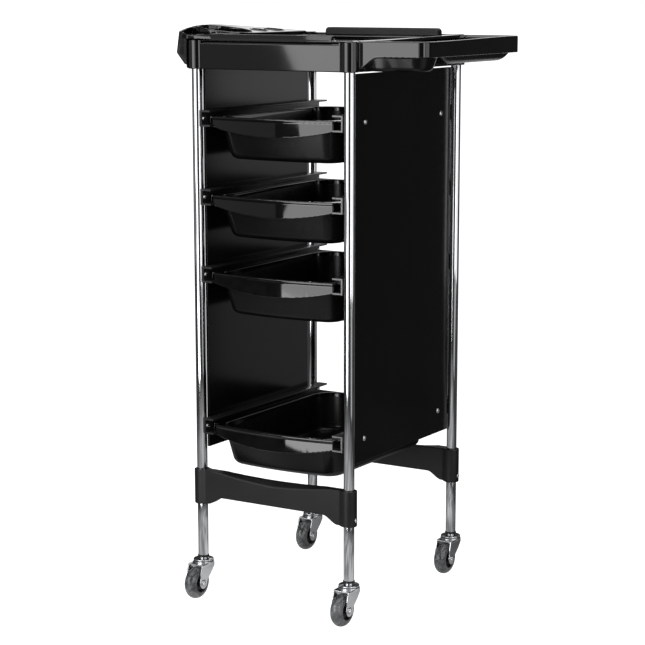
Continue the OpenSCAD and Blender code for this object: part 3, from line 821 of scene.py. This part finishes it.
def channel(sx, zc):
    o = [(RX0, -RH / 2), (RX1, -RH / 2), (RX1, RH / 2), (RX0, RH / 2), (RX0, RH / 2 - RT), (RX1 - RT, RH / 2 - RT),
         (RX1 - RT, -RH / 2 + RT), (RX0, -RH / 2 + RT)]
    rad = [0.5, 0.7, 0.7, 0.5, 0.5, 0.5, 0.5, 0.5]
    path = [o[-1]] + o + [o[0]]
    pts = np.array(rounded(path, rad, 3)[1:-1])
    n = len(pts)
    y0, y1 = -PY - 6, PY + 6
    V, F, mats = [], [], []
    rows = [(y0, 0.35), (y0 + 0.35, 0.0), (y1 - 0.35, 0.0), (y1, 0.35)]
    c = pts - np.roll(pts, 1, axis=0)
    nx = np.roll(pts, -1, axis=0) - np.roll(pts, 1, axis=0)
    nrm = np.stack([nx[:, 1], -nx[:, 0]], 1)
    nrm /= np.maximum(np.linalg.norm(nrm, axis=1), 1e-9)[:, None]
    for yy, ins in rows:
        q = pts - nrm * ins * 0.5
        V += [(sx * a, yy, zc + b) for a, b in q]
    for r in range(3):
        for i in range(n):
            j = (i + 1) % n
            f = (r * n + i, r * n + j, (r + 1) * n + j, (r + 1) * n + i)
            F.append(f if sx > 0 else f[::-1])
            mats.append(0)
    a, b = tuple(range(n)), tuple(range(3 * n, 4 * n))
    F.append(a[::-1] if sx > 0 else a)
    F.append(b if sx > 0 else b[::-1])
    mats += [1, 1]
    return V, F, mats


for sx, s in ((-1, "left"), (1, "right")):
    for i in (1, 2, 3, 4):
        V, F, mi = channel(sx, RAILZ[i])
        ob = add_object("rail_channel_%s_%d" % (s, i), V, F, [M_RAIL, M_CUT if sx > 0 else M_RAIL], "chassis", angle=35)
        if len(ob.data.polygons) == len(mi):
            ob.data.polygons.foreach_set("material_index", mi)
        bm = bmesh.new()
        bm.from_mesh(ob.data)
        bmesh.ops.recalc_face_normals(bm, faces=bm.faces)
        bmesh.ops.triangulate(bm, faces=[f for f in bm.faces if len(f.verts) > 4])
        bm.to_mesh(ob.data)
        bm.free()
        ob.data.shade_smooth()
        ob.data.set_sharp_from_angle(angle=math.radians(35))
        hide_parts("rail_%s_%d" % (s, i))

# ------------------------------------------------------------------ trays
LIPX, BULGE = 104.8, 11.0
LR = (LIPX ** 2 + BULGE ** 2) / (2 * BULGE)
DR = (LIPX ** 2 + 12 ** 2) / 24
FX = RX1 - 6.3


def tray_sdf(x, y, z):
    ax = np.abs(x)
    s = np.clip((0.8 - z) / 58, 0, 1.1)
    lipdisc = ci2(x, y, 0, -PY - 1 - BULGE + LR, LR)
    wide = ax - (102 - 6 * s)
    front = lipdisc + 5.2 + 18.5 * s
    plan = I(I(wide, front, 23), y - (147 - 7 * s), 37)
    outer = I(I(plan * 0.96, -60 - z, 9), z - 2.0, 0)
    fr = np.maximum(lipdisc, np.maximum(ax - LIPX, np.maximum(-200 - y, y + 120)))
    plate2 = U(rr2(x, y, -FX, -PY + 10, FX, PY - 8, 3), fr, 1.5)
    plate = I(plate2, np.abs(z - 1.75) - 1.25, 1.0)
    runner = I(I(np.abs(ax - FX + 1.25) - 1.25, np.maximum(-PY + 10 - y, y - PY + 8), 0.5), np.maximum(z - 2, -8.8 - z), 0.6)
    drop = np.hypot(x, z + 24 - DR) - DR
    lip = I(I(I(np.abs(lipdisc + 1.3) - 1.3, drop, 1.0), ax - LIPX, 2.0), np.maximum(z - 2.4, y + PY - 12), 0)
    d = U(U(plate, lip, 2.6), runner, 1.0)
    d = U(d, outer, 1.5)
    inner = I((plan + 2.6) * 0.96, -57.5 - z, 7)
    return S(d, inner, 1.5)


tray0 = moulded("tray_moulding_1", lambda x, y, z: tray_sdf(x, y, z - RAILZ[1]), (-FX - 3, -PY - 15, RAILZ[1] - 63),
                (FX + 3, PY - 4, RAILZ[1] + 5), 1.25, M_GLOSS, "tray_1_body", keep=0.17)
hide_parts("tray_1")


def dull_faces(ob, test):
    """Faces that carry the duller moulding grain instead of the polish."""
    me = ob.data
    me.materials.append(M_BASIN)
    c = np.array([p.center for p in me.polygons]) * 1000 - np.array([OX, OY, 0.0])
    me.polygons.foreach_set("material_index", test(c[:, 0], c[:, 1], c[:, 2]).astype(int).tolist())


def basin_faces(ob, zc):
    disc = -PY - 1 - BULGE + LR
    dull_faces(ob, lambda x, y, z: (z < zc - 3.2) & ~((y < disc - np.sqrt(LR ** 2 - x ** 2) + 3.1) & (z > zc - 25.5) & (np.abs(x) < LIPX + 1)))


basin_faces(tray0, RAILZ[1])
for i in (2, 3, 4):
    t = flipped(tray0, "tray_moulding_%d" % i, [[1, 0, 0, 0], [0, 1, 0, 0], [0, 0, 1, RAILZ[i] - RAILZ[1]], [0, 0, 0, 1]],
                "tray_%d_body" % i, M_GLOSS)
    basin_faces(t, RAILZ[i])
    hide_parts("tray_%d" % i)


dull_faces(deck, lambda x, y, z: (x > PX + 12) & (z < wing_low(x, y) - 0.4))


# ------------------------------------------------------------------ screws
def screw_sdf(r, h):
    big = (r * r + h * h) / (2 * h) * 1.25
    def f(x, y, z):
        head = I(I(ci2(x, y, 0, 0, r), -z, 0.1), np.sqrt(x * x + y * y + (z - (h - big)) ** 2) - big, 0.35)
        arm = 0.62 * r
        taper = np.clip((h - z) * 0.25, 0, 1)
        cross = U(box3(x, y, z, (0, 0, h), (arm, 0.42, 0.55 * h), 0.1) + taper * 0.25,
                  box3(x, y, z, (0, 0, h), (0.42, arm, 0.55 * h), 0.1) + taper * 0.25, 0.25)
        return S(head, cross, 0.12)
    return f


def screw_mesh(r, h):
    f = screw_sdf(r, h)
    st = 0.26
    V, Q = surface(f, (-r - 0.6, -r - 0.6, -0.6), (r + 0.6, r + 0.6, h + 0.6), st)
    V = settle(f, V, 3, 0.15)
    N = gradient(f, V, 0.04)
    N /= np.maximum(np.linalg.norm(N, axis=1), 1e-9)[:, None]
    return V, Q, N


def screw_set(name, node, r, h, places, twist=0.3):
    """places: (x, y, z, direction along X of the head's top)."""
    V0, Q0, N0 = screw_mesh(r, h)
    VV, FF, NN, off = [], [], [], 0
    for i, (x, y, z, s) in enumerate(places):
        a = twist + 0.9 * i
        R1 = np.array([[math.cos(a), -math.sin(a), 0], [math.sin(a), math.cos(a), 0], [0, 0, 1]])
        R2 = np.array([[0, 0, s], [s, 0, 0], [0, 1, 0]], float) if s > 0 else np.array([[0, 0, -1], [0, 1, 0], [1, 0, 0]], float)
        if np.linalg.det(R2) < 0:
            R2[:, 1] *= -1
        R = R2 @ R1
        VV.append(V0 @ R.T + np.array([x, y, z]))
        NN.append(N0 @ R.T)
        FF.append(Q0 + off)
        off += len(V0)
    ob = add_object(name, np.concatenate(VV), np.concatenate(FF), M_SCREW, "chassis", normals=np.concatenate(NN))
    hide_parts(node)
    return ob


screw_set("rail_screw_heads", "rail_screws", 3.4, 2.0,
          [(sx * (RX1 - RT), sy * PY, RAILZ[i], -sx) for sx in (-1, 1) for sy in (-1, 1) for i in (1, 2, 3, 4)])
screw_set("panel_screw_heads", "panel_screws", 4.0, 2.0,
          [(sx * (RX1 + 4), yy, RAILZ[i], sx) for sx in (-1, 1) for yy in (-108, 118) for i in (1, 4)])
screw_set("bracket_screw_heads", "bracket_screws", 3.2, 1.6,
          [(sx * (PX + 12), sy * PY, BB + 10, sx) for sx in (-1, 1) for sy in (-1, 1)])


# ------------------------------------------------------------------ casters
def fork_sdf(x, y, z):
    """Pressed fork about the swivel axis at the origin, floor at z = 0."""
    ax = np.abs(x)
    disc = ext(ci2(x, y, 0, 0, 16.0), z, 52, 56.3, 0.9, 0.9)
    seam = ext(np.abs(ci2(x, y, 0, 0, 16.2)) - 0.35, z, 53.9, 54.5, 0.2)
    disc = S(disc, seam, 0.2)
    web = ext(rr2(x, y, -13.5, -22, 13.5, 7, 4), z, 52, 54, 0.4, 0.6)
    t = -TRAIL
    prof = poly2(y, z, [(10, 54), (10.2, 48), (3, 39.5), (t + 8.6, AXZ + 2.5), (t + 4, AXZ - 3), (t - 4, AXZ - 3),
                        (t - 8.4, AXZ + 1.5), (t - 7.6, 40), (-23.5, 50.5), (-22.5, 54)])
    prof = U(prof, ci2(y, z, t, AXZ, 8.5), 4)
    legs = I(prof, np.abs(ax - 12.5) - 1.0, 0.45)
    legs = np.maximum(legs, z - 54)
    d = U(disc, U(web, legs, 1.6), 1.0)
    boss = I(ci2(y, z, t, AXZ, 5.2), np.abs(ax - 13.0) - 1.0, 0.4)
    d = U(d, boss, 0.8)
    d = S(d, ci2(x, y, 0, 0, 3.08), 0.2)
    return S(d, ci2(y, z, t, AXZ, 3.06), 0.2)


def place_at(k):
    sx, sy = CORNER[k]
    return np.array([sx * PX, sy * PY, 0.0])


f0 = moulded("caster_fork_fl_pressing", lambda x, y, z: fork_sdf(x + PX, y + PY, z), (-PX - 18, -PY - 33, 12),
             (-PX + 18, -PY + 19, 60), 0.6, M_PRESS, "swivel_fl", keep=0.3)
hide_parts("caster_fork_fl")
for k in ("fr", "bl", "br"):
    d = place_at(k) - place_at("fl")
    o = flipped(f0, "caster_fork_%s_pressing" % k, [[1, 0, 0, d[0]], [0, 1, 0, d[1]], [0, 0, 1, 0], [0, 0, 0, 1]],
                "swivel_" + k, M_PRESS)
    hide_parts("caster_fork_" + k)

X2 = np.array([[0, 0, 1], [0, 1, 0], [-1, 0, 0]], float)      # turns Z onto X
for k in CORNER:
    p = place_at(k)
    # plastic bush and collar
    V, F = lathe(rounded([(4.05, LZ - 3.4), (8.8, LZ - 3.4), (8.8, LZ), (6.75, LZ), (6.75, LZ + 26), (4.05, LZ + 26), (4.05, LZ - 3.4)],
                         [0.8, 0.8, 0.2, 0.4, 0.2], 4)[:-1], 64, closed=True)
    o = add_object("caster_collar_" + k, V + p, F, M_NYLON, "chassis", angle=40)
    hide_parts("caster_bush_" + k)
    # stem, neck and upper race
    prof = [(0.01, 50.2), (5.0, 50.2), (5.0, 51.5), (3.0, 51.6), (3.0, 56.8), (15.6, 56.8), (15.6, 59.4), (8.2, 59.7), (6.0, 60.6),
            (7.9, LZ - 3.5), (4.0, LZ - 3.5), (4.0, LZ + 20), (0.01, LZ + 20)]
    V, F = lathe(rounded(prof, [0.5, 0.5, 0.1, 0.2, 1.0, 1.1, 1.4, 1.0, 0.3, 0.1, 0.6], 5), 96)
    o = add_object("caster_neck_" + k, V + p, F, M_PRESS, "chassis", angle=50)
    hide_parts("caster_stem_" + k)
    # wheel
    c = p + np.array([0, -TRAIL, AXZ])
    hub = [(3.08, -11), (5.5, -11), (5.5, -5.2), (12.3, -5.2), (12.9, -8), (14.5, -8), (14.5, 8), (12.9, 8), (12.3, 5.2), (5.5, 5.2),
           (5.5, 11), (3.08, 11), (3.08, -11)]
    V, F = lathe(rounded(hub, [0.4, 0.8, 0.8, 0.4, 0.2, 0.2, 0.4, 0.8, 0.8, 0.4, 0.2], 4)[:-1], 80, closed=True)
    o = add_object("wheel_core_" + k, V @ X2.T + c, F, M_NYLON, "wheel_" + k, angle=40)
    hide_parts("wheel_hub_" + k)
    a0 = math.acos((14.55 - 15) / 10)
    tp = [(15 + 10 * math.cos(t), 10 * math.sin(t)) for t in np.linspace(-a0, a0, 40)]
    V, F = lathe(tp, 112, closed=True)
    o = add_object("tyre_tread_" + k, V @ X2.T + c, F, M_PU, "wheel_" + k, angle=60)
    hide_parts("tyre_" + k)
    dress("axle_bolt_" + k, M_SCREW, 0.25, 2, 35)

# ------------------------------------------------------------------ camera
CAM = Vector(((1578.97 + OX) / 1000, (-2556.62 + OY) / 1000, 0.92602))
cam_data = bpy.data.cameras.new("camera")
cam = bpy.data.objects.new("camera", cam_data)
bpy.context.scene.collection.objects.link(cam)
rot = (Matrix.Rotation(math.radians(31.912), 4, "Z") @ Matrix.Rotation(math.radians(90 - 11.398), 4, "X")
       @ Matrix.Rotation(math.radians(-0.065), 4, "Z"))
cam.matrix_world = Matrix.Translation(CAM) @ rot
cam_data.sensor_fit = "HORIZONTAL"
cam_data.sensor_width = 36.0
cam_data.lens = 1976.718 / 645 * 36
cam_data.shift_x = (322.5 - 322.346) / 645
cam_data.shift_y = (383.629 - 322.5) / 645
cam_data.clip_end = 200
cam_data.dof.use_dof = False
bpy.context.scene.camera = cam


# ------------------------------------------------------------------ stage
def emission(name, strength, colour=(1, 1, 1)):
    m = bpy.data.materials.new(name)
    m.use_nodes = True
    nt = m.node_tree
    nt.nodes.clear()
    out = nt.nodes.new("ShaderNodeOutputMaterial")
    e = nt.nodes.new("ShaderNodeEmission")
    e.inputs["Color"].default_value = (*colour, 1)
    e.inputs["Strength"].default_value = strength
    nt.links.new(e.outputs[0], out.inputs[0])
    return m


def card(name, corners, strength, glossy=True):
    """A lit card from its corners in the cart's frame, in mm; unseen by the camera.
    Glossy cards only show in reflections, the others only give soft light."""
    me = bpy.data.meshes.new(name)
    me.from_pydata([((x + OX) / 1000, (y + OY) / 1000, z / 1000) for x, y, z in corners], [], [tuple(range(len(corners)))])
    ob = bpy.data.objects.new(name, me)
    bpy.context.scene.collection.objects.link(ob)
    me.materials.append(emission(name, strength))
    ob.visible_camera = False
    ob.visible_shadow = False
    ob.visible_diffuse = not glossy
    ob.visible_glossy = glossy
    ob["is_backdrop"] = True
    return ob


def upright(name, p, q, z0, z1, strength):
    return card(name, [(p[0], p[1], z0), (q[0], q[1], z0), (q[0], q[1], z1), (p[0], p[1], z1)], strength)


def toward(heading, dist):
    h = math.radians(heading)
    return (-math.sin(h) * dist, math.cos(h) * dist)


# main softbox in front on the left: its leaning left edge shows in the front face and the pull lips
card("softbox_front_left", [(-1480, -3000, 0), (400, -3000, 0), (400, -3000, 560), (-40, -3000, 620), (-40, -3000, 2600),
                            (-2794, -3000, 2600), (-1824, -3000, 760), (-1761, -3000, 640), (-1020, -3000, 520),
                            (-960, -3000, 390), (-1420, -3000, 240)], 2.8)
card("floor_front_left", [(-468, -1160, 1), (190, -1160, 1), (400, -3000, 1), (-1480, -3000, 1)], 4.2)
upright("card_left", toward(151, 4300), toward(100, 4300), 0, 2600, 0.2)
upright("card_front", toward(177, 3300), toward(192, 3300), 0, 2600, 0.9)
upright("strip_right", toward(231, 3000), toward(246, 3000), 0, 2600, 2.2)
upright("card_right", toward(250, 3000), toward(290, 3000), 0, 2400, 1.2)
card("floor_right", [(900, -500, 1), (1000, -80, 1), (2800, 0, 1), (2500, -1500, 1)], 0.45)
upright("card_back_high", (-1250, 1500), (250, 1500), 820, 1900, 1.0)
card("overhead_soft", [(-982, -1700, 2500), (1500, -1700, 2500), (1500, 1300, 2500), (-982, 1300, 2500)], 1.35)
card("overhead_soft_left", [(-1500, -1700, 2500), (-982, -1700, 2500), (-982, 1300, 2500), (-1500, 1300, 2500)], 0.2)
fill = upright("inner_fill", (-150, 300), (186, 300), 150, 806, 1.0)
nt = fill.data.materials[0].node_tree
geo = nt.nodes.new("ShaderNodeNewGeometry")
sep = nt.nodes.new("ShaderNodeSeparateXYZ")
nt.links.new(geo.outputs["Position"], sep.inputs[0])
grade = ramp(nt, sep.outputs["Z"], [(0.15, g(0.20)), (0.45, g(0.24)), (0.53, g(0.27)), (0.64, g(0.42)), (0.74, g(0.66)), (0.80, g(0.70))])
nt.links.new(grade, [n for n in nt.nodes if n.type == "EMISSION"][0].inputs["Strength"])
card("overhead", [(-900, -1500, 2700), (900, -1500, 2700), (900, 700, 2700), (-900, 700, 2700)], 2.0, False)
upright("fill_front", (-1500, -2600), (1900, -2600), 300, 2300, 1.2).visible_diffuse = True
bpy.data.objects["fill_front"].visible_glossy = False

world = bpy.data.worlds.new("world")
bpy.context.scene.world = world
world.use_nodes = True
nt = world.node_tree
nt.nodes.clear()
wo = nt.nodes.new("ShaderNodeOutputWorld")
bg_cam = nt.nodes.new("ShaderNodeBackground")
bg_cam.inputs[0].default_value = (1, 1, 1, 1)
bg_cam.inputs[1].default_value = 1.0
bg = nt.nodes.new("ShaderNodeBackground")
bg.inputs[0].default_value = (1, 1, 1, 1)
bg.inputs[1].default_value = 0.03
lp = nt.nodes.new("ShaderNodeLightPath")
mix = nt.nodes.new("ShaderNodeMixShader")
nt.links.new(lp.outputs["Is Camera Ray"], mix.inputs[0])
nt.links.new(bg.outputs[0], mix.inputs[1])
nt.links.new(bg_cam.outputs[0], mix.inputs[2])
nt.links.new(mix.outputs[0], wo.inputs[0])

# floor: white in view; in reflections a pool of light round the cart that fades outwards
fm = bpy.data.materials.new("floor")
fm.use_nodes = True
nt = fm.node_tree
nt.nodes.clear()
out = nt.nodes.new("ShaderNodeOutputMaterial")
em = nt.nodes.new("ShaderNodeEmission")
em.inputs[0].default_value = (1, 1, 1, 1)
em.inputs[1].default_value = 1.3
pool = nt.nodes.new("ShaderNodeEmission")
geo = nt.nodes.new("ShaderNodeNewGeometry")
sub = nt.nodes.new("ShaderNodeVectorMath")
sub.operation = "SUBTRACT"
sub.inputs[1].default_value = (0.06, -0.30, 0.0)
ln = nt.nodes.new("ShaderNodeVectorMath")
ln.operation = "LENGTH"
nt.links.new(geo.outputs["Position"], sub.inputs[0])
nt.links.new(sub.outputs[0], ln.inputs[0])
patch = nt.nodes.new("ShaderNodeTexNoise")
patch.inputs["Scale"].default_value = 5.0
patch.inputs["Detail"].default_value = 1.0
nt.links.new(geo.outputs["Position"], patch.inputs["Vector"])
glow = span(nt, ln.outputs["Value"], 0.44, 0.05, 0.28, 0.82)
nt.links.new(math2(nt, "MULTIPLY", glow, span(nt, patch.outputs[0], 0.55, 1.35, 0.38, 0.62)), pool.inputs[1])
mx = nt.nodes.new("ShaderNodeMixShader")
lp = nt.nodes.new("ShaderNodeLightPath")
nt.links.new(lp.outputs["Is Camera Ray"], mx.inputs[0])
nt.links.new(pool.outputs[0], mx.inputs[1])
nt.links.new(em.outputs[0], mx.inputs[2])
nt.links.new(mx.outputs[0], out.inputs[0])
fme = bpy.data.meshes.new("floor")
fme.from_pydata([(-60, -60, 0), (60, -60, 0), (60, 60, 0), (-60, 60, 0)], [], [(0, 1, 2, 3)])
floor = bpy.data.objects.new("floor", fme)
bpy.context.scene.collection.objects.link(floor)
fme.materials.append(fm)
floor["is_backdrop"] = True

sc = bpy.context.scene
sc.view_settings.view_transform = "Standard"
sc.view_settings.look = "None"
sc.view_settings.exposure = 0.0
sc.view_settings.gamma = 1.0

a, b = CAD_BOX
c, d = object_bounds()
